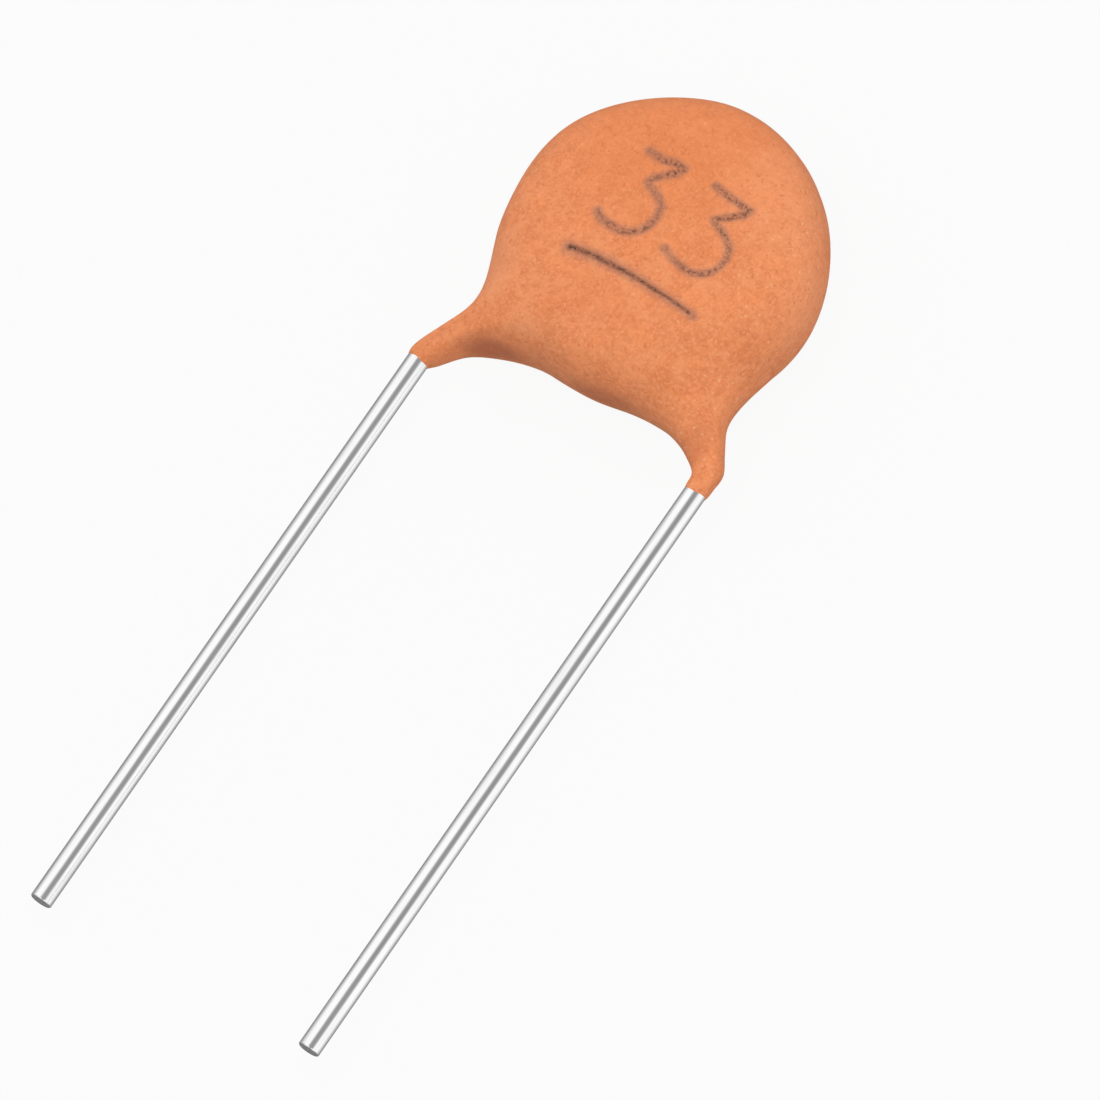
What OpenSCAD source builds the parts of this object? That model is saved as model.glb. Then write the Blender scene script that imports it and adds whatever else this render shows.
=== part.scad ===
// Ceramic disc capacitor with two radial leads and a dipped coating.
// It lies on its rear face: +Z points out of the front face and the leads
// run toward -Y. The origin is under the middle of the part, on the surface
// that it lies on. All sizes are in millimetres.

/* [Leads] */
// Distance between the centres of the two leads
lead_pitch = 5.08; // [5.0:0.01:5.2]
// Diameter of the lead wire
lead_d = 0.36; // [0.3:0.01:0.38]
// Distance from the centre of the disc to the cut tips of the leads
lead_reach = 13.35; // [6:0.05:30]
// Bevel that the cutter leaves round each tip
tip_bevel = 0.07; // [0.02:0.01:0.12]
// Radius of each bend, at the middle of the wire
bend_r = 0.3; // [0.25:0.05:0.4]

/* [Ceramic] */
// Diameter of the ceramic disc
ceramic_d = 4.1; // [3.6:0.05:4.3]
// Thickness of the ceramic disc
ceramic_t = 0.7; // [0.4:0.05:0.8]
// Bare margin between the electrode and the rim of the disc
electrode_margin = 0.2; // [0.1:0.05:0.5]
// Thickness of each silver electrode
electrode_t = 0.04; // [0.02:0.01:0.06]
// Radius of the bead of solder along each wire
solder_r = 0.44; // [0.42:0.01:0.48]
// Film of solder between a wire and its electrode
solder_film = 0.02; // [0.01:0.01:0.04]

/* [Coating] */
// Mean diameter of the coated disc
body_d = 5.21; // [5.1:0.01:5.4]
// Thickness of the coated disc
body_t = 2; // [1.9:0.05:2.6]
// Place of the disc's centre, from midway between the leads
body_shift = [-0.15, 0.07]; // [-0.2:0.01:0.2]
// Width of the rounded edge, round the rim and along the arch between the leads
edge_w = [0.9, 0.7]; // [0.6:0.05:1.2]
// Squareness of the rounded edge: 2 is an ellipse
rim_power = 2.3; // [2:0.1:3]
// Coating on the wire where each neck ends
skin = 0.025; // [0.02:0.005:0.05]
// Where each neck ends, left and right, from the disc's centre
neck_tips = [-3.12, -2.92]; // [-3.2:0.01:-2.8]
// Length of each neck that stays thin, left and right
neck_thin = [0, 0.2]; // [0:0.05:0.3]
// Distance over which each neck then thickens to the full body
neck_run = [2.6, 2.6]; // [2.4:0.1:2.8]
// Rise of each neck toward the front face
neck_lift = [-0.02, -0.12]; // [-0.15:0.01:0.05]

/* [Hidden] */

$fn = 48;
FRONT = 1;
REAR = -1;
lead_x = lead_pitch / 2;
lead_r = lead_d / 2;
half_t = body_t / 2;
centre = body_shift;
electrode_z = ceramic_t / 2 + electrode_t;
wire_z = electrode_z + solder_film + lead_r;
// Where the centre of the disc stands over the origin of the part
disc_y = (lead_reach - centre.y - body_d / 2) / 2;

// Corners of each wire, from the tip to its end on the disc
left_wire = [
    [-lead_x, -lead_reach, 0],
    [-lead_x, -3.06, 0],
    [-2.25, -2.64, 0.06],
    [-1.5, -1.55, wire_z],
    [-0.75, -0.1, wire_z]
];
right_wire = [
    [lead_x, -lead_reach, 0],
    [lead_x, -2.5, 0],
    [1.62, -1.5, -wire_z],
    [0.45, 0.2, -wire_z]
];

// Waves that the dip left round the rim: [number, height, place of a crest]
rim_waves = [[5, 0.032, 6], [6, 0.017, -16]];

// Ribs of each neck, from its tip on the wire to the middle of the disc:
// [outer edge, inner edge, pull]
// The pull moves the ridge of the rib from its midpoint (0) to the centre (1).
neck_r = lead_r + skin;
left_end = 202;
right_end = -16;
arch = [0.1, -2.31];
left_ribs = [
    [[-lead_x - neck_r, neck_tips[0]], [-lead_x + neck_r, neck_tips[0]], 0],
    [[-2.65, -2.84], [-2.2, -2.93], 0],
    [[-2.45, -2.51], [-1.96, -2.6], 0],
    [[-2.26, -2.18], [-1.53, -2.38], 0.1],
    [[-2.24, -1.86], [-1.0, -2.29], 0.35],
    [[-2.34, -1.46], [-0.5, -2.31], 0.7],
    [rim(left_end), arch, 1]
];
right_ribs = [
    [[lead_x + neck_r, neck_tips[1]], [lead_x - neck_r, neck_tips[1]], 0],
    [[2.74, -2.68], [2.33, -2.67], 0],
    [[2.72, -2.4], [2.07, -2.47], 0],
    [[2.49, -2.06], [1.78, -2.32], 0.1],
    [[2.25, -1.66], [1.4, -2.22], 0.35],
    [[2.23, -1.22], [0.8, -2.21], 0.7],
    [rim(right_end), arch, 1]
];
// Angle from each end of the rim's arc to the point that steers the neck's last rib
rim_lead = 6;
// How sharply a neck swells to the full thickness
swell_power = 1.5;
// Largest share of the way in to the ridge that the rounded edge takes, left and right
edge_share = [0.5, 0.9];

// Share of a wire's last run where the solder starts and ends
solder_run = [0.42, 0.95];
// The bent run starts inside the straight one, a little finer than it
wire_overlap = 0.05;
wire_ease = 0.98;
wire_sides = 16;
bend_steps = 4;
rib_steps = 4;
rim_steps = 64;
edge_steps = 7;
face_steps = 3;

function sum(values) = values * [for (v = values) 1];

// Point on the rim of the coated disc
function rim(a) =
    let (r = body_d / 2 + sum([for (w = rim_waves) w[1] * cos(w[0] * (a - w[2]))]))
    centre + r * [cos(a), sin(a)];

function mix(a, b, t) = a + (b - a) * t;

// Smooth curve through b and c, with a and d beyond them
function curve(a, b, c, d, t) =
    b + ((c - a) * t + (2 * a - 5 * b + 4 * c - d) * t * t
    + (3 * b - a - 3 * c + d) * t * t * t) / 2;

// Values of one column of the ribs, all the way along the neck
function along(column, before, after) =
    let (last = len(column) - 1)
    [for (i = [0:last - 1], s = [0:rib_steps - 1])
        curve(i == 0 ? before : column[i - 1], column[i], column[i + 1],
            i == last - 1 ? after : column[i + 2], s / rib_steps)];

function column(ribs, k) = [for (rib = ribs) rib[k]];

function beyond(values) = 2 * values[0] - values[1];

// Stations of a neck, from the tip on: [outer edge, inner edge, ridge]
function neck(ribs, next_rim, next_arch) =
    let (
        outer = along(column(ribs, 0), beyond(column(ribs, 0)), next_rim),
        inner = along(column(ribs, 1), beyond(column(ribs, 1)), next_arch),
        pull = along(column(ribs, 2), 0, 1)
    )
    [for (i = [0:len(outer) - 1])
        [outer[i], inner[i], mix((outer[i] + inner[i]) / 2, centre, pull[i])]];

// How far a point is along the thickening of a neck: 0 at its start, 1 in the full body
function run(p, side) =
    let (tip = [(side * 2 - 1) * lead_x, neck_tips[side]])
    max(0, min(1, (norm(p - tip) - neck_thin[side]) / neck_run[side]));

// Width of the rounded edge at the outer or inner edge of a station
function edge_width(station, column, side) =
    min(edge_w[column], edge_share[side] * norm(station[2] - station[column]));

function swell(t) = pow(sin(90 * t), swell_power);

// Half thickness of the coating at a point, before the edge is rounded
function half(p) = neck_r + (half_t - neck_r) * swell(min(run(p, 0), run(p, 1)));

// Height of the middle of the coating
function lift(p) =
    let (l = swell(run(p, 0)), r = swell(run(p, 1)))
    4 * (neck_lift[0] * l * (1 - l) + neck_lift[1] * r * (1 - r));

function unit(v) = v / norm(v);

// Centre line of a wire: its corners rounded by arcs of the bend radius
function bent(corners) =
    let (last = len(corners) - 1)
    [for (i = [1:last])
        each i == last ? [corners[i]]
        : let (
            into = unit(corners[i] - corners[i - 1]),
            out = unit(corners[i + 1] - corners[i]),
            turn = acos(into * out),
            start = corners[i] - bend_r * tan(turn / 2) * into,
            inward = (out - into * (into * out)) / sin(turn)
        )
        [for (s = [0:bend_steps])
            let (a = turn * s / bend_steps)
            start + bend_r * (sin(a) * into + (1 - cos(a)) * inward)]];

// Round bar swept along points, which never climb steeply
module swept(path, r) {
    last = len(path) - 1;
    rings = [for (i = [0:last])
        let (
            ahead = unit(path[min(i + 1, last)] - path[max(i - 1, 0)]),
            across = unit(cross(ahead, [0, 0, 1])),
            up = cross(across, ahead)
        )
        [for (j = [0:wire_sides - 1])
            let (a = 360 * j / wire_sides)
            path[i] + r * (cos(a) * across + sin(a) * up)]];
    walls = [for (i = [0:last - 1], j = [0:wire_sides - 1])
        let (a = i * wire_sides + j, b = i * wire_sides + (j + 1) % wire_sides)
        each [[a, b, b + wire_sides], [a, b + wire_sides, a + wire_sides]]];
    near = [for (j = [wire_sides - 1:-1:0]) j];
    far = [for (j = [0:wire_sides - 1]) last * wire_sides + j];
    polyhedron([for (ring = rings) each ring], concat([near, far], walls));
}

// Straight lead with a bevelled tip, then the bends up to its end on the disc
module wire(corners) {
    path = bent(corners);
    tip = corners[0];
    straight = path[0].y - wire_overlap - tip.y;
    translate(tip) rotate([-90, 0, 0]) {
        cylinder(r1 = lead_r - tip_bevel, r2 = lead_r, h = tip_bevel);
        translate([0, 0, tip_bevel]) cylinder(r = lead_r, h = straight - tip_bevel);
    }
    swept(concat([path[0] - [0, 2 * wire_overlap, 0]], path), lead_r * wire_ease);
}

module place() {
    translate([0, disc_y, half_t]) children();
}

module coating_form() {
    left = neck(left_ribs, rim(left_end - rim_lead), right_ribs[5][1]);
    right = neck(right_ribs, rim(right_end + rim_lead), left_ribs[5][1]);
    n = len(left);
    arc = [for (i = [0:rim_steps]) rim(mix(right_end, left_end, i / rim_steps))];
    // One loop round the outline, counterclockwise:
    // [edge, ridge, number of the ridge, width of the rounded edge]
    loop = concat(
        [for (i = [0:n - 1]) [right[i][0], right[i][2], i, edge_width(right[i], 0, 1)]],
        [for (p = arc) [p, centre, 2 * n, edge_w[0]]],
        [for (i = [n - 1:-1:0]) [left[i][0], left[i][2], n + i, edge_width(left[i], 0, 0)]],
        [for (i = [0:n - 1]) [left[i][1], left[i][2], n + i, edge_width(left[i], 1, 0)]],
        [[arch, centre, 2 * n, edge_w[1]]],
        [for (i = [n - 1:-1:0]) [right[i][1], right[i][2], i, edge_width(right[i], 1, 1)]]
    );
    count = len(loop);
    rings = edge_steps + face_steps;
    ridges = concat(column(right, 2), column(left, 2), [centre]);
    // Ring 0 is the edge, then come the rounded edge and the flat face
    function ring_point(s, k, side) =
        let (
            reach = norm(s[1] - s[0]),
            w = s[3],
            a = 90 * min(k, edge_steps) / edge_steps,
            round_in = w * (1 - pow(cos(a), 2 / rim_power)),
            flat_in = (reach - w) * max(0, k - edge_steps) / face_steps,
            p = mix(s[0], s[1], (round_in + flat_in) / reach)
        )
        raised(p, side * pow(sin(a), 2 / rim_power));
    function raised(p, part) = [p.x, p.y, lift(p) + half(p) * part];
    points = concat(
        [for (s = loop) ring_point(s, 0, FRONT)],
        [for (side = [FRONT, REAR], k = [1:rings - 1], s = loop) ring_point(s, k, side)],
        [for (side = [FRONT, REAR], p = ridges) raised(p, side)]
    );
    function at(side, k, i) =
        let (j = (i + count) % count, s = side == FRONT ? 0 : 1)
        k == 0 ? j
        : k == rings ? count + 2 * (rings - 1) * count + s * len(ridges) + loop[j][2]
        : count + (s * (rings - 1) + k - 1) * count + j;
    function quad(side, k, i) =
        let (
            a = at(side, k, i), b = at(side, k, i + 1),
            c = at(side, k + 1, i + 1), d = at(side, k + 1, i)
        )
        side == FRONT ? (c == d ? [[a, d, b]] : [[a, d, b], [b, d, c]])
        : (c == d ? [[a, b, d]] : [[a, b, d], [b, c, d]]);
    // Flat end of a neck, across the wire
    function end_face(i) = concat(
        [for (k = [0:rings]) at(FRONT, k, i)],
        [for (k = [rings - 1:-1:0]) at(FRONT, k, i + 1)],
        [for (k = [1:rings]) at(REAR, k, i + 1)],
        [for (k = [rings - 1:-1:1]) at(REAR, k, i)]
    );
    tips = [count - 1, 2 * n + rim_steps];
    faces = concat(
        [for (side = [FRONT, REAR], k = [0:rings - 1], i = [0:count - 1])
            if (i != tips[0] && i != tips[1]) each quad(side, k, i)],
        [for (i = tips) end_face(i)]
    );
    polyhedron(points, faces);
}

module ceramic() {
    translate([centre.x, centre.y, -ceramic_t / 2]) cylinder(d = ceramic_d, h = ceramic_t, $fn = 96);
}

module electrode(side) {
    z = side == FRONT ? ceramic_t / 2 : -electrode_z;
    translate([centre.x, centre.y, z])
        cylinder(d = ceramic_d - 2 * electrode_margin, h = electrode_t, $fn = 96);
}

// Bead of solder along the last run of a wire, flat on its electrode
module solder(corners, side) {
    last = len(corners) - 1;
    difference() {
        hull()
            for (t = solder_run) {
                p = mix(corners[last - 1], corners[last], t);
                translate([p.x, p.y, side * electrode_z]) solder_drop(side);
            }
        wire(corners);
    }
}

// Half ball that stands on the side it faces
module solder_drop(side) {
    intersection() {
        sphere(r = solder_r, $fn = 24);
        translate([-solder_r, -solder_r, side == FRONT ? 0 : -solder_r])
            cube([2 * solder_r, 2 * solder_r, solder_r]);
    }
}

module coating() {
    color("#e8905e") place() difference() {
        coating_form();
        ceramic();
        electrode(FRONT);
        electrode(REAR);
        solder(left_wire, FRONT);
        solder(right_wire, REAR);
        wire(left_wire);
        wire(right_wire);
    }
}

module ceramic_disc() {
    color("#d9cdb4") place() ceramic();
}

module front_electrode() {
    color("#dcdcd8") place() electrode(FRONT);
}

module rear_electrode() {
    color("#dcdcd8") place() electrode(REAR);
}

module front_solder_joint() {
    color("#b4b6b8") place() solder(left_wire, FRONT);
}

module rear_solder_joint() {
    color("#b4b6b8") place() solder(right_wire, REAR);
}

module left_lead() {
    color("#e6e7e8") place() wire(left_wire);
}

module right_lead() {
    color("#e6e7e8") place() wire(right_wire);
}

coating();
ceramic_disc();
front_electrode();
rear_electrode();
front_solder_joint();
rear_solder_joint();
left_lead();
right_lead();
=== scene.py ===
# Ceramic disc capacitor: the dipped coating, the tinned leads and a small white studio.
# Lengths are in metres unless a note says millimetres.

import math

import bmesh
import bpy
from mathutils import Matrix, Vector, noise


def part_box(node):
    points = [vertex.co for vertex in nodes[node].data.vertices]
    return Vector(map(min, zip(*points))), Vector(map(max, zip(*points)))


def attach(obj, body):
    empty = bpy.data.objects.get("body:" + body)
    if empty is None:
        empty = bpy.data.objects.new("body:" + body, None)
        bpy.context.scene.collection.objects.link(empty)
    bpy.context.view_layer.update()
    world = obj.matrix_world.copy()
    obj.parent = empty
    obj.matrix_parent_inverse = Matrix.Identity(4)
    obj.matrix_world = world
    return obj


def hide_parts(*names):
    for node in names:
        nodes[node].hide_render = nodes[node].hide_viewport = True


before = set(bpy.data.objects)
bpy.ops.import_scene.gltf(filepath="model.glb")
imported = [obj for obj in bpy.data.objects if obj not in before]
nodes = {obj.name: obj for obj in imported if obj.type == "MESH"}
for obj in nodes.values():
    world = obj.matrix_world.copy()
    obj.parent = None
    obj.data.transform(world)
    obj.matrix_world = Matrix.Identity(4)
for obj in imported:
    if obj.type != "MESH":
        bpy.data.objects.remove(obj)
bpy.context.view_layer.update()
mm = 0.001


class Value:  # wraps an output socket, so that sums of values read as plain expressions

    def __init__(self, finish, socket):
        self.finish = finish
        self.socket = socket

    def math(self, operation, *others):
        return self.finish.node("Math", {"operation": operation}, [self, *others])

    def __add__(self, other):
        return self.math("ADD", other)

    def __sub__(self, other):
        return self.math("SUBTRACT", other)

    def __mul__(self, other):
        return self.math("MULTIPLY", other)

    def __truediv__(self, other):
        return self.math("DIVIDE", other)

    def __rsub__(self, other):
        return self.finish.node("Math", {"operation": "SUBTRACT"}, [other, self])

    __radd__ = __add__
    __rmul__ = __mul__

    def least(self, *others):
        value = self
        for other in others:
            value = value.math("MINIMUM", other)
        return value

    def most(self, other):
        return self.math("MAXIMUM", other)

    def between(self, low, high):  # 0 at low, 1 at high, smooth between
        settings = {"interpolation_type": "SMOOTHSTEP"}
        return self.finish.node("MapRange", settings, {"Value": self, "From Min": low, "From Max": high})


class Finish:  # a material or a world, and the nodes it is made of

    def __init__(self, owner):
        self.owner = owner
        owner.use_nodes = True
        self.tree = owner.node_tree
        self.tree.nodes.clear()

    def node(self, kind, settings=None, inputs=None, output=0):
        made = self.tree.nodes.new("ShaderNode" + kind)
        for name, value in (settings or {}).items():
            setattr(made, name, value)
        named = inputs.items() if isinstance(inputs, dict) else enumerate(inputs or [])
        for name, value in named:
            self.feed(made.inputs[name], value)
        return Value(self, made.outputs[output])

    def feed(self, socket, value):
        if isinstance(value, Value):
            self.tree.links.new(value.socket, socket)
        else:
            socket.default_value = value

    def mix(self, factor, first, second):  # of two colours
        made = self.tree.nodes.new("ShaderNodeMix")
        made.data_type = "RGBA"
        for name, value in (("Factor_Float", factor), ("A_Color", first), ("B_Color", second)):
            self.feed(next(s for s in made.inputs if s.identifier == name), value)
        return Value(self, next(s for s in made.outputs if s.identifier == "Result_Color"))

    def millimetres(self, stretch=(1, 1, 1)):  # place on the part, in millimetres
        coordinates = self.node("TexCoord", output="Object")
        scale = [s / mm for s in stretch]
        return self.node("VectorMath", {"operation": "MULTIPLY"}, [coordinates, scale])

    def parts(self, vector):
        made = self.tree.nodes.new("ShaderNodeSeparateXYZ")
        self.tree.links.new(vector.socket, made.inputs[0])
        return [Value(self, socket) for socket in made.outputs]

    def noise(self, vector, size, detail=2.0, roughness=0.5):  # size of a lump in millimetres
        inputs = {"Vector": vector, "Scale": 1 / size, "Detail": detail, "Roughness": roughness}
        return self.node("TexNoise", {"noise_dimensions": "3D"}, inputs)

    def close(self, shader, kind="Material"):
        end = self.tree.nodes.new("ShaderNodeOutput" + kind)
        self.tree.links.new(shader.socket, end.inputs["Surface"])
        return self.owner


def rgb(red, green, blue):  # a colour as it looks on a screen, 0 to 255
    def linear(c):
        c /= 255
        return c / 12.92 if c <= 0.04045 else ((c + 0.055) / 1.055) ** 2.4

    return (linear(red), linear(green), linear(blue), 1.0)


dullResin = rgb(217, 125, 75)
# painted shade: a darker resin laid where the arch's walls and the right neck fall in shade
paintedShadeResin = rgb(182, 100, 66)
deepResin = rgb(226, 127, 70)
# painted light: a paler resin laid where the rims, the shoulders by the left neck and the face's right
# side catch the light
paintedLightResin = rgb(247, 162, 114)

# The coating's resin, in millimetres. A spot's colour grows in a noise of its size, from the
# first level to the second, and covers its share of what lies under it. The spots are painted
# in this order, with the tints before the pores.
resinLook = {
    "color": rgb(238, 144, 90),
    "spots": {
        "blotch": {
            "color": dullResin, "share": 0.6, "levels": (0.62, 0.34),
            "size": 0.5, "detail": 2.0, "roughness": 0.5,
        },
        "patch": {
            "color": rgb(236, 150, 100), "share": 0.6, "levels": (0.4, 0.62),
            "size": 0.32, "detail": 3.0, "roughness": 0.6,
        },
        "lump": {
            "color": dullResin, "share": 0.6, "levels": (0.62, 0.34),
            "size": 0.13, "detail": 3.0, "roughness": 0.5,
        },
        "grain": {
            "color": rgb(247, 156, 108), "share": 0.62, "levels": (0.42, 0.7),
            "size": 0.05, "detail": 2.0, "roughness": 0.5,
        },
        "pore": {
            "color": rgb(204, 114, 70), "share": 0.5, "levels": (0.62, 0.74),
            "size": 0.075, "detail": 1.0, "roughness": 0.5,
        },
        # light specks in the resin, with painted glints among them
        "speckAndGlint": {
            "color": rgb(253, 205, 158), "share": 0.2, "levels": (0.66, 0.78),
            "size": 0.06, "detail": 1.0, "roughness": 0.4,
        },
    },
    "glintSide": (0.6, 2.4),     # painted glints: from here to here along X, toward the lit side, the light specks grow denser
    "glintMore": 0.22,           # and cover this much more
    "tints": [                   # centre, reach, depth and colour of each broad shift, some of them painted shade and painted light
        # painted shade: darker resin over the shaded arch walls and the inner side of the right neck
        ((-1.6, 2.87, 0.95), (0.75, 0.42, 0.55), 0.7, paintedShadeResin),
        ((0.4, 3.05, 1.0), (0.8, 0.35, 0.5), 0.5, paintedShadeResin),
        ((2.2, 3.0, 1.4), (0.4, 0.55, 0.5), 0.35, paintedShadeResin),
        ((-0.8, 7.3, 1.6), (3.0, 2.8, 2.0), 0.38, deepResin),
        ((-0.2, 4.1, 1.9), (1.1, 0.6, 0.8), 0.2, dullResin),
        # painted light: paler resin on the lit rims, the right of the face and the shoulders by the left
        # neck
        ((1.5, 6.9, 1.8), (1.7, 1.4, 1.0), 0.25, paintedLightResin),
        ((2.7, 6.0, 1.3), (0.7, 1.8, 1.0), 0.4, paintedLightResin),
        ((-2.0, 3.9, 1.7), (0.7, 0.8, 0.9), 0.4, paintedLightResin),
        ((-1.05, 3.25, 1.9), (0.5, 0.35, 0.5), 0.35, paintedLightResin),
    ],
    "tintCore": 0.3,             # share of its reach within which a tint is full
    "roughness": 0.6,
    "roughnessSwing": 0.3,       # how much the grain changes it
    "specular": 0.3,
    "lumpHeight": 1.5,           # beside the grain's height of 1
    "poreDepth": 0.5,
    "bumpStrength": 0.35,
    "bumpHeight": 0.006,
}

# The printed value on the front face, in millimetres across it: a worn stamp of two figures
# over a rule. Each figure is a head and a tail of straight runs and a round bowl. Thin ink
# spreads past a stroke, and dark ink lies in its core.
markLook = {
    "ink": rgb(112, 98, 96),
    "darkInk": rgb(62, 30, 17),
    "lowest": 1.5,               # the ink lies only above this height
    "fineSize": 0.045,           # of the ink's specks and of the small waves along its edge
    "looseSize": 0.16,           # of the longer waves
    "wearSize": 0.3,             # of the places where the stamp pressed well
    "speckDetail": 3.0,
    "speckLevels": (0.42, 0.62),
    "wearLevels": (0.35, 0.65),
    "stroke": {
        "waves": (0.06, 0.05),   # how far the small and the longer waves move the edge
        "fade": (0.3, 1.9),      # where thin ink starts to fade and ends, in widths
        "cover": (0.36, 0.14),   # what thin ink covers, and what its specks add
        "core": 1.3,             # reach of the dark ink, in widths
        "coreCover": (0.15, 0.85),
        "strength": (0.25, 0.4, 0.12),  # of dark ink: everywhere, near a dark run, and by wear
        "darkRun": 0.1,          # length of a dark run
        "darkReach": (0.1, 0.5),
    },
    "figures": [
        {
            "head": [
                (-0.87, 6.55), (-0.6, 6.52), (-0.4, 6.57), (-0.22, 6.56), (-0.29, 6.45),
                (-0.56, 6.2), (-0.6, 6.11), (-0.52, 6.06), (-0.35, 6.0), (-0.18, 5.855),
            ],
            "bowl": ((-0.59, 5.67), 0.443, 24, -105),  # centre, radius, first and last angle
            "tail": [(-0.7, 5.235), (-0.9, 5.255), (-1.02, 5.335)],
            "width": 0.074,                            # half the width of a stroke
            "dark": [(-0.4, 6.46), (-0.45, 5.26)],     # where the dark runs start
        },
        {
            "head": [
                (0.37, 6.56), (0.58, 6.51), (0.88, 6.48), (1.09, 6.46), (1.05, 6.37),
                (0.85, 6.22), (0.67, 6.08), (0.72, 6.03), (0.87, 5.985), (1.12, 5.83),
            ],
            "bowl": ((0.805, 5.58), 0.402, 38, -102),
            "tail": [(0.72, 5.182), (0.48, 5.22), (0.25, 5.315)],
            "width": 0.066,
            "dark": [(0.85, 6.45), (1.0, 5.23), (0.75, 6.06)],
        },
    ],
    "halo": {                    # thin ink round the rule
        "points": [(-1.07, 4.63), (-0.4, 4.71), (0.3, 4.69), (1.28, 4.6)],
        "width": 0.21,
        "taper": 0.3,
        "waves": (0.07, 0.05),
        "cover": (0.36, 0.22),
    },
    "rule": {
        "points": [
            (-1.06, 4.635), (-0.8, 4.685), (-0.4, 4.7), (0.05, 4.7), (0.4, 4.68), (0.8, 4.66), (1.2, 4.61),
        ],
        "width": 0.09,
        "taper": 0.5,
        "waves": (0.06, 0.03),
        "wearCover": (0.75, 0.25),
        "cover": (0.5, 0.5),
    },
    "taperRun": (-1.1, 1.3),     # both taper from here to here along X
}


def lineDistance(x, y, start, end):
    along = Vector(end) - Vector(start)
    length = along.length
    ux, uy = along / length
    dx, dy = x - start[0], y - start[1]
    run = (dx * ux + dy * uy).most(0.0).least(length)
    sx, sy = dx - run * ux, dy - run * uy
    return (sx * sx + sy * sy).math("SQRT")


def pathDistance(x, y, points):
    first, *others = [lineDistance(x, y, *pair) for pair in zip(points, points[1:])]
    return first.least(*others)


def bowlDistance(x, y, centre, radius, first, last):
    middle, half = math.radians((first + last) / 2), math.radians(abs(first - last) / 2)
    dx, dy = x - centre[0], y - centre[1]
    px = dx * math.cos(middle) + dy * math.sin(middle)
    py = (dy * math.cos(middle) - dx * math.sin(middle)).math("ABSOLUTE")
    ring = ((px * px + py * py).math("SQRT") - radius).math("ABSOLUTE")
    ex, ey = px - radius * math.cos(half), py - radius * math.sin(half)
    end = (ex * ex + ey * ey).math("SQRT")
    inside = py.math("ARCTAN2", px).math("LESS_THAN", half)
    return inside * ring + (1 - inside) * end


def stampInk(finish, place, color):
    look, stroke, rule, halo = markLook, markLook["stroke"], markLook["rule"], markLook["halo"]
    x, y, z = finish.parts(place)
    fine = finish.noise(place, look["fineSize"]) - 0.5
    loose = finish.noise(place, look["looseSize"]) - 0.5
    worn = finish.noise(place, look["wearSize"]).between(*look["wearLevels"])
    specks = finish.noise(place, look["fineSize"], look["speckDetail"]).between(*look["speckLevels"])
    onFace = z.math("GREATER_THAN", look["lowest"])

    def waved(away, waves):
        return away + fine * waves[0] + loose * waves[1]

    def covered(base, added, by):
        return base + by * added

    def tapered(line):
        away = waved(pathDistance(x, y, line["points"]), line["waves"])
        return 1 - away.between(0, line["width"] * (1 - x.between(*look["taperRun"]) * line["taper"]))

    for figure in look["figures"]:
        width = figure["width"]
        away = bowlDistance(x, y, *figure["bowl"])
        away = away.least(pathDistance(x, y, figure["head"]), pathDistance(x, y, figure["tail"]))
        away = waved(away, stroke["waves"])
        thin = 1 - away.between(*[width * edge for edge in stroke["fade"]])
        color = finish.mix(thin * onFace * covered(*stroke["cover"], specks), color, look["ink"])
        runs = [[start, (start[0] + stroke["darkRun"], start[1])] for start in figure["dark"]]
        first, *others = [pathDistance(x, y, run) for run in runs]
        near = 1 - first.least(*others).between(*stroke["darkReach"])
        always, added, byWear = stroke["strength"]
        strength = always + near * added + worn * byWear
        core = (1 - away.between(0, width * stroke["core"])) * strength
        color = finish.mix(core * covered(*stroke["coreCover"], specks) * onFace, color, look["darkInk"])
    color = finish.mix(tapered(halo) * onFace * covered(*halo["cover"], specks), color, look["ink"])
    dark = tapered(rule) * onFace * covered(*rule["wearCover"], worn)
    return finish.mix(dark * covered(*rule["cover"], specks), color, look["darkInk"])


def resinFinish():
    look, spots = resinLook, resinLook["spots"]
    finish = Finish(bpy.data.materials.new("dippedResin"))
    place = finish.millimetres()
    noises = {
        name: finish.noise(place, spot["size"], spot["detail"], spot["roughness"])
        for name, spot in spots.items()
    }
    spread = {name: noises[name].between(*spot["levels"]) for name, spot in spots.items()}
    color = look["color"]
    for name in ("blotch", "patch", "lump", "grain"):
        color = finish.mix(spread[name] * spots[name]["share"], color, spots[name]["color"])
    # broad tints, among them painted shade over the arch and the right neck and painted light on the rims
    for centre, reach, depth, tint in look["tints"]:
        away = finish.node("VectorMath", {"operation": "SUBTRACT"}, [place, centre])
        away = finish.node("VectorMath", {"operation": "DIVIDE"}, [away, reach])
        away = finish.node("VectorMath", {"operation": "LENGTH"}, [away], output="Value")
        color = finish.mix((1 - away.between(look["tintCore"], 1.0)) * depth, color, tint)
    color = finish.mix(spread["pore"] * spots["pore"]["share"], color, spots["pore"]["color"])
    # painted glints: the light specks grow denser toward the lit right side
    side = finish.parts(place)[0].between(*look["glintSide"])
    share = spots["speckAndGlint"]["share"] + side * look["glintMore"]
    color = finish.mix(spread["speckAndGlint"] * share, color, spots["speckAndGlint"]["color"])
    color = stampInk(finish, place, color)
    height = noises["grain"] + noises["lump"] * look["lumpHeight"] - spread["pore"] * look["poreDepth"]
    bump = finish.node("Bump", {}, {
        "Strength": look["bumpStrength"], "Distance": look["bumpHeight"] * mm, "Height": height,
    })
    shader = finish.node("BsdfPrincipled", {}, {
        "Base Color": color, "Normal": bump, "Specular IOR Level": look["specular"],
        "Roughness": look["roughness"] + (noises["grain"] - 0.5) * look["roughnessSwing"],
    })
    return finish.close(shader)


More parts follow.
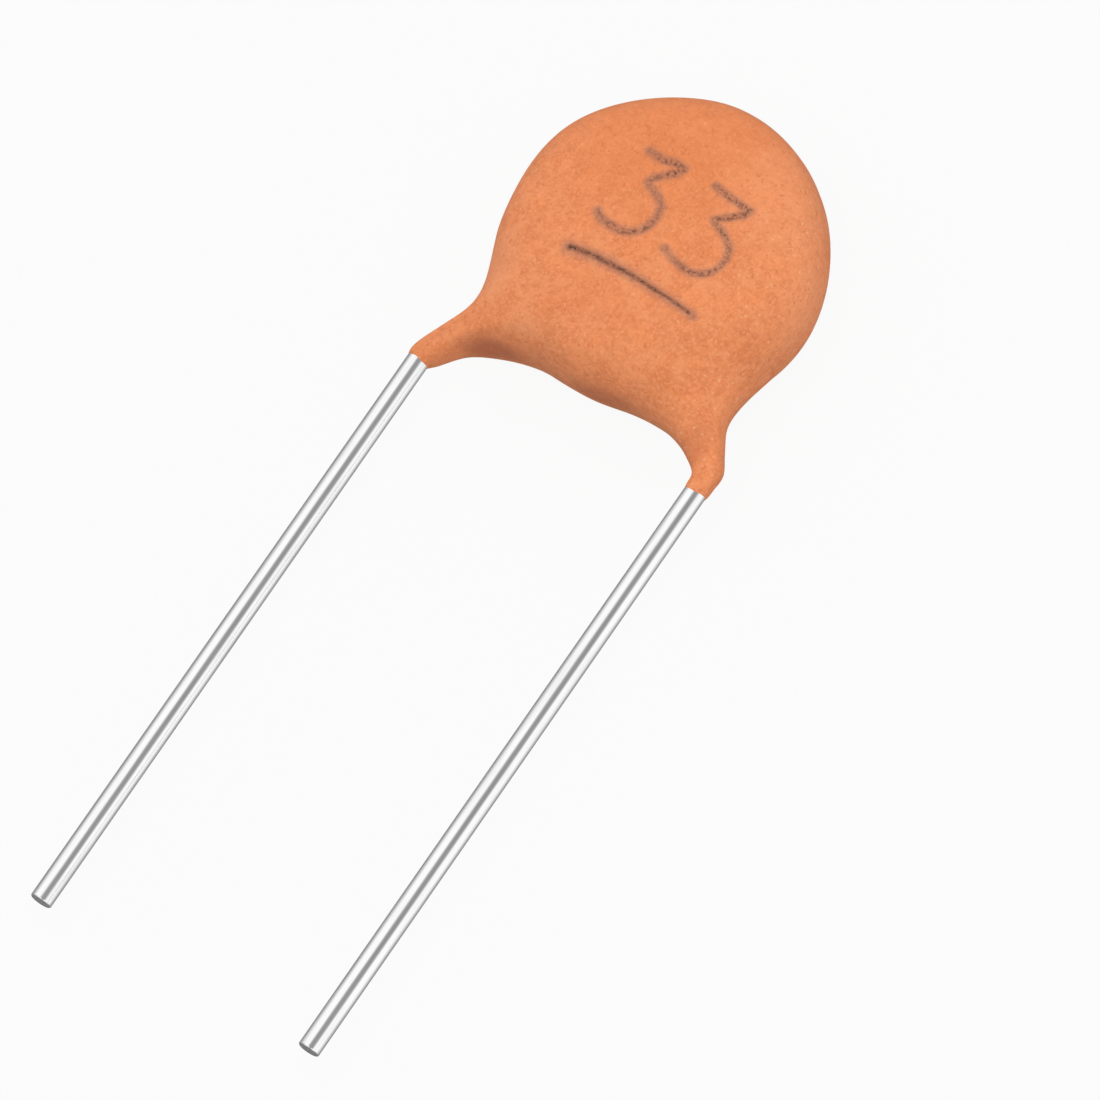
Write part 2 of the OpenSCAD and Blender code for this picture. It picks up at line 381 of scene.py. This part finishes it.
# The leads. Corners are in millimetres from the centre of the disc: where the wire turns,
# then the end of its last run on the disc. Sizes in the finish are in millimetres too.
lead = {
    "radius": 0.18 * mm,
    "bevel": 0.015 * mm,         # round the cut tip
    "bend": 0.3 * mm,            # radius at the middle of the wire
    "reach": 13.35 * mm,         # from the disc's centre to the tips
    "sides": 48,
    "bendSteps": 8,
    "crease": math.radians(25),
    "left_lead": [(-2.54, -3.06, 0), (-2.25, -2.64, 0.06), (-1.5, -1.55, 0.59), (-0.75, -0.1, 0.59)],
    "right_lead": [(2.54, -2.5, 0), (1.62, -1.5, -0.59), (0.45, 0.2, -0.59)],
    "tin": (0.93, 0.93, 0.93, 1.0),
    "dullTin": (0.86, 0.86, 0.87, 1.0),
    "dullLevels": (0.4, 0.7),
    "roughness": 0.12,
    "roughnessSwing": 0.12,      # how much the streaks change it
    "drawnLength": 1.2,          # of a streak left by drawing the wire
    "drawnWidth": 0.05,
    "cut": rgb(132, 131, 130),
    "darkCut": rgb(98, 96, 95),
    "cutRoughness": 0.42,
    "cutDepth": 0.02,            # over which the cut's bare metal turns to tin
    "tornSize": 0.05,            # of the marks that the cutter tore
    "tornDetail": 3.0,
    "tornLevels": (0.35, 0.65),
    "tornHeight": 2.0,           # beside the streaks' height of 1
    "bumpStrength": 0.25,
    "bumpHeight": 0.002,
}


def leadFinish(cutEnd):
    finish = Finish(bpy.data.materials.new("tinnedWire"))
    place = finish.millimetres()
    y = finish.parts(place)[1]
    stretched = finish.millimetres((1, lead["drawnWidth"] / lead["drawnLength"], 1))
    drawn = finish.noise(stretched, lead["drawnWidth"])
    torn = finish.noise(place, lead["tornSize"], lead["tornDetail"])
    edge = cutEnd / mm
    cut = 1 - (y + torn * lead["cutDepth"]).between(edge, edge + lead["cutDepth"])
    tin = finish.mix(drawn.between(*lead["dullLevels"]), lead["tin"], lead["dullTin"])
    bare = finish.mix(torn.between(*lead["tornLevels"]), lead["cut"], lead["darkCut"])
    tinRough = lead["roughness"] + (drawn - 0.5) * lead["roughnessSwing"]
    bump = finish.node("Bump", {}, {
        "Strength": lead["bumpStrength"], "Distance": lead["bumpHeight"] * mm,
        "Height": drawn + cut * torn * lead["tornHeight"],
    })
    shader = finish.node("BsdfPrincipled", {}, {
        "Base Color": finish.mix(cut, tin, bare), "Metallic": 1.0, "Normal": bump,
        "Roughness": tinRough + cut * (lead["cutRoughness"] - lead["roughness"]),
    })
    return finish.close(shader)


def makeLead(nodeName, discCentre, finish):
    corners = [discCentre + Vector(corner) * mm for corner in lead[nodeName]]
    tip = Vector((corners[0].x, discCentre.y - lead["reach"], corners[0].z))
    bm = bmesh.new()
    turned = Matrix.Translation(tip) @ Matrix.Rotation(math.radians(90), 4, "X")
    radius = lead["radius"] - lead["bevel"]
    bmesh.ops.create_circle(bm, cap_ends=True, segments=lead["sides"], radius=radius, matrix=turned)
    here = tip + Vector((0, lead["bevel"], 0))
    rim = extend(bm, bm.edges[:], here - tip)
    ring = list({v for edge in rim for v in edge.verts})
    grown = [lead["radius"] / radius] * 3
    bmesh.ops.scale(bm, vec=grown, space=Matrix.Translation(-here), verts=ring)
    for corner, following in zip(corners, corners[1:]):
        into = (corner - here).normalized()
        out = (following - corner).normalized()
        turn = into.angle(out)
        cutBack = lead["bend"] * math.tan(turn / 2)
        start = corner - into * cutBack
        rim = extend(bm, rim, start - here)
        inward = (out - into * into.dot(out)).normalized()
        rim = turnRing(bm, rim, start + inward * lead["bend"], into.cross(out).normalized(), turn)
        here = corner + out * cutBack
    rim = extend(bm, rim, corners[-1] - here)
    bmesh.ops.contextual_create(bm, geom=rim)
    bmesh.ops.recalc_face_normals(bm, faces=bm.faces[:])
    for edge in bm.edges:
        edge.smooth = edge.calc_face_angle(0) < lead["crease"]
    finishPiece(bm, nodeName.replace("_lead", "Lead"), nodeName, finish)


def extend(bm, edges, step):
    made = bmesh.ops.extrude_edge_only(bm, edges=edges)["geom"]
    bmesh.ops.translate(bm, verts=[g for g in made if isinstance(g, bmesh.types.BMVert)], vec=step)
    return [g for g in made if isinstance(g, bmesh.types.BMEdge)]


def turnRing(bm, edges, centre, axis, angle):
    turned = Matrix.Rotation(angle / lead["bendSteps"], 3, axis)
    for step in range(lead["bendSteps"]):
        made = bmesh.ops.extrude_edge_only(bm, edges=edges)["geom"]
        verts = [g for g in made if isinstance(g, bmesh.types.BMVert)]
        bmesh.ops.rotate(bm, verts=verts, cent=centre, matrix=turned)
        edges = [g for g in made if isinstance(g, bmesh.types.BMEdge)]
    return edges


def finishPiece(bm, name, nodeName, finish):
    for face in bm.faces:
        face.smooth = True
    mesh = bpy.data.meshes.new(name)
    bm.to_mesh(mesh)
    bm.free()
    piece = bpy.data.objects.new(name, mesh)
    bpy.context.scene.collection.objects.link(piece)
    mesh.materials.append(finish)
    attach(piece, "root")
    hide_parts(nodeName)
    return piece


# The coating's skin. Lengths are in millimetres.
skinForm = {
    "voxel": 0.035,
    "smoothing": 6,              # passes
    "smoothFactor": 0.5,
    "merge": 1e-4,
    "crease": math.radians(60),  # sharper edges part the outside from the lining
    "ripple": 0.006,             # height of the slow waves that the dip left
    "rippleSize": 0.9,
    "rippleSink": 0.6,           # the waves lie this share of their height lower, inside the solid
    "flatHeight": 0.1,           # they fade toward the flat rear face over this height
    "ends": [                    # where the resin stops on each wire
        {"x": -2.54, "y": -3.12, "drop": 0.03, "slant": 0.016, "bulge": 0.0, "ragged": 0.012},
        {"x": 2.54, "y": -2.92, "drop": 0.0, "slant": -0.004, "bulge": 0.032, "ragged": 0.016},
    ],
    "endDepth": 0.16,            # how far up the neck an end's shape reaches
    "raggedSize": 0.09,
    "feather": 0.188,            # radius to which the resin thins at its very end
}


def outerForm():  # the outside of the coating, closed flat where each lead leaves it
    bm = bmesh.new()
    bm.from_mesh(nodes["coating"].data)
    bmesh.ops.scale(bm, vec=[1 / mm] * 3, verts=bm.verts[:])
    bmesh.ops.remove_doubles(bm, verts=bm.verts[:], dist=skinForm["merge"])
    bm.faces.ensure_lookup_table()
    top = max(bm.faces, key=lambda face: face.calc_center_median().z)
    outside, reached = {top}, [top]
    while reached:
        for edge in reached.pop().edges:
            if edge.calc_face_angle(0) < skinForm["crease"]:
                fresh = [face for face in edge.link_faces if face not in outside]
                outside.update(fresh)
                reached.extend(fresh)
    lining = [face for face in bm.faces if face not in outside]
    bmesh.ops.delete(bm, geom=lining, context="FACES")
    bmesh.ops.holes_fill(bm, edges=[edge for edge in bm.edges if edge.is_boundary], sides=0)
    return bm


def remeshed(bm):  # even small faces all over, which can be smoothed
    mesh = bpy.data.meshes.new("roughSkin")
    bm.to_mesh(mesh)
    bm.free()
    rough = bpy.data.objects.new("roughSkin", mesh)
    bpy.context.scene.collection.objects.link(rough)
    remesh = rough.modifiers.new("remesh", "REMESH")
    remesh.mode = "VOXEL"
    remesh.voxel_size = skinForm["voxel"]
    bpy.context.view_layer.update()
    evaluated = rough.evaluated_get(bpy.context.evaluated_depsgraph_get())
    bm = bmesh.new()
    bm.from_mesh(evaluated.data)
    bpy.data.objects.remove(rough)
    return bm


def makeCoating(discCentre, finish):
    form = skinForm
    bm = remeshed(outerForm())
    axes = {"use_axis_x": True, "use_axis_y": True, "use_axis_z": True}
    for turn in range(form["smoothing"]):
        bmesh.ops.smooth_vert(bm, verts=bm.verts[:], factor=form["smoothFactor"], **axes)
    middle = discCentre / mm
    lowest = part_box("coating")[0].z / mm
    bm.normal_update()
    for v in bm.verts:
        place = v.co - middle
        lifted = min(1.0, (v.co.z - lowest) / form["flatHeight"])
        wave = noise.noise(v.co / form["rippleSize"]) - form["rippleSink"]
        v.co += v.normal * form["ripple"] * wave * lifted
        for end in form["ends"]:
            near = min(1.0, 1 - (place.y - end["y"]) / form["endDepth"])
            spoke = Vector((place.x - end["x"], 0, place.z))
            if near > 0 and spoke.length < 2 * form["feather"]:
                across = spoke.x / form["feather"]
                reach = end["drop"] + end["bulge"] * (1 - across ** 2) + end["slant"] * across
                reach += end["ragged"] * noise.noise(v.co / form["raggedSize"])
                over = max(0.0, spoke.length - form["feather"])
                v.co -= Vector((0, reach * near, 0)) + spoke.normalized() * over * near ** 2
    bmesh.ops.scale(bm, vec=[mm] * 3, verts=bm.verts[:])
    print("coating:", len(bm.faces), "faces")
    skin = finishPiece(bm, "coatingSkin", "coating", finish)
    skin.visible_glossy = False  # the leads mirror the white studio only


# What lies inside: ceramic, silver and solder. Sizes are in millimetres.
innerLooks = {
    "ceramic_disc": {"color": rgb(214, 200, 172), "metallic": 0.0, "roughness": 0.55, "lumps": 0.1},
    "front_electrode": {"color": rgb(205, 205, 200), "metallic": 1.0, "roughness": 0.4, "lumps": 0.08},
    "rear_electrode": {"color": rgb(205, 205, 200), "metallic": 1.0, "roughness": 0.4, "lumps": 0.08},
    "front_solder_joint": {"color": rgb(180, 182, 186), "metallic": 1.0, "roughness": 0.3, "lumps": 0.2},
    "rear_solder_joint": {"color": rgb(180, 182, 186), "metallic": 1.0, "roughness": 0.3, "lumps": 0.2},
}
innerLumps = {"detail": 4.0, "levels": (0.3, 0.7), "shade": 0.85, "bumpStrength": 0.2, "bumpHeight": 0.005}


def innerFinish(nodeName, look):
    finish = Finish(bpy.data.materials.new(nodeName + "Finish"))
    lumps = finish.noise(finish.millimetres(), look["lumps"], innerLumps["detail"])
    dark = [c * innerLumps["shade"] for c in look["color"][:3]] + [1.0]
    bump = finish.node("Bump", {}, {
        "Strength": innerLumps["bumpStrength"], "Distance": innerLumps["bumpHeight"] * mm, "Height": lumps,
    })
    shader = finish.node("BsdfPrincipled", {}, {
        "Base Color": finish.mix(lumps.between(*innerLumps["levels"]), dark, look["color"]),
        "Metallic": look["metallic"], "Roughness": look["roughness"], "Normal": bump,
    })
    return finish.close(shader)


studio = {
    "azimuth": math.radians(61.28),
    "elevation": math.radians(61.40),
    "roll": math.radians(-29.49),
    "lens": 1000,                # a long lens, almost without perspective
    "width": 16.64 * mm,         # what the picture spans
    "aim": Vector((0.441, 0.943, -0.362)) * mm,
    "floorSize": 0.5,            # half its width
    "floorColor": (0.55, 0.55, 0.55, 1.0),
    "floorGlow": 0.93,           # share of plain white that the camera sees in the floor
    "ambient": 0.6,              # light from all round
    "ambientSlope": 0.25,        # how much more of it comes from the far side
    "sides": 0.55,               # and from the left and right
    "keyLevel": 0.325,           # what the key adds on a white surface that faces it
    "keyDirection": Vector((0.2, -0.1, 1.0)),
    "keySize": 0.08,
    "keyDistance": 0.12,
    "white": 1.05,               # what bright metal sees of the white surround
    "card": (0.32, 37, 4),       # the grey card near the camera: level, outer and inner angle
    "cardTurn": math.radians(4),
    "behind": (0.30, 145, 70),   # the dim side away from the camera
}


def cameraAxes():
    azimuth, elevation, roll = studio["azimuth"], studio["elevation"], studio["roll"]
    flat = math.cos(elevation)
    back = Vector((math.sin(azimuth) * flat, -math.cos(azimuth) * flat, math.sin(elevation)))
    level = Vector((math.cos(azimuth), math.sin(azimuth), 0))
    right = level * math.cos(roll) + back.cross(level) * math.sin(roll)
    return right, back.cross(right), back


def makeCamera():
    right, up, back = cameraAxes()
    camera = bpy.data.cameras.new("camera")
    camera.lens = studio["lens"]
    distance = studio["width"] * camera.lens / camera.sensor_width
    camera.clip_start = distance / 2
    camera.clip_end = distance * 2
    holder = bpy.data.objects.new("camera", camera)
    bpy.context.scene.collection.objects.link(holder)
    turn = Matrix((right, up, back)).transposed().to_4x4()
    holder.matrix_world = Matrix.Translation(studio["aim"] + back * distance) @ turn
    bpy.context.scene.camera = holder


def makeFloor():
    bm = bmesh.new()
    bmesh.ops.create_grid(bm, x_segments=1, y_segments=1, size=studio["floorSize"])
    mesh = bpy.data.meshes.new("floor")
    bm.to_mesh(mesh)
    bm.free()
    floor = bpy.data.objects.new("floor", mesh)
    bpy.context.scene.collection.objects.link(floor)
    finish = Finish(bpy.data.materials.new("paleFloor"))
    toCamera = finish.node("LightPath", output="Is Camera Ray")
    pale = finish.node("BsdfDiffuse", {}, {"Color": studio["floorColor"]})
    white = finish.node("Emission", {}, {"Strength": 1.0})
    shown = finish.node("MixShader", {}, [toCamera * studio["floorGlow"], pale, white])
    mesh.materials.append(finish.close(shown))
    floor.visible_glossy = False


def makeKey():
    lamp = bpy.data.lights.new("key", "AREA")
    lamp.shape = "DISK"
    lamp.size = studio["keySize"]
    lamp.energy = studio["keyLevel"] * math.pi ** 2 * studio["keyDistance"] ** 2
    holder = bpy.data.objects.new("key", lamp)
    bpy.context.scene.collection.objects.link(holder)
    towards = studio["keyDirection"].normalized()
    turn = towards.to_track_quat("Z", "Y").to_matrix().to_4x4()
    holder.matrix_world = Matrix.Translation(towards * studio["keyDistance"]) @ turn
    holder.visible_glossy = False


def makeWorld():
    back = cameraAxes()[2]
    world = bpy.data.worlds.new("studio")
    bpy.context.scene.world = world
    finish = Finish(world)
    x, y, z = finish.parts(finish.node("TexCoord", output="Generated"))
    reach = (x * x + z * z).math("SQRT").most(0.001)  # never 0
    lean = math.atan2(back.x, back.z) + studio["cardTurn"]
    facing = (x * math.sin(lean) + z * math.cos(lean)) / reach
    bright = studio["white"]
    for level, outer, inner in (studio["card"], studio["behind"]):
        shade = facing.between(math.cos(math.radians(outer)), math.cos(math.radians(inner)))
        if outer > 90:  # the side away
            shade = 1 - shade
        bright = bright - (studio["white"] - level) * shade
    isCamera = finish.node("LightPath", output="Is Camera Ray")
    isGlossy = finish.node("LightPath", output="Is Glossy Ray")
    soft = studio["ambient"] + y * studio["ambientSlope"] + x * x * studio["sides"]
    strength = isCamera + isGlossy * bright + (1 - isCamera - isGlossy) * soft
    shader = finish.node("Background", {}, {"Color": (1.0, 1.0, 1.0, 1.0), "Strength": strength})
    finish.close(shader, kind="World")


bpy.context.scene.view_settings.view_transform = "Standard"
makeCamera()
print("camera ready")

discCentre = Vector((0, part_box("left_lead")[0].y + lead["reach"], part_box("coating")[1].z / 2))
wireFinish = leadFinish(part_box("left_lead")[0].y)
for nodeName in ("left_lead", "right_lead"):
    makeLead(nodeName, discCentre, wireFinish)
print("leads ready")

makeCoating(discCentre, resinFinish())
print("coating ready")

for nodeName, look in innerLooks.items():
    nodes[nodeName].data.materials.clear()
    nodes[nodeName].data.materials.append(innerFinish(nodeName, look))
print("inner pieces ready")

makeFloor()
makeWorld()
makeKey()
print("studio ready")
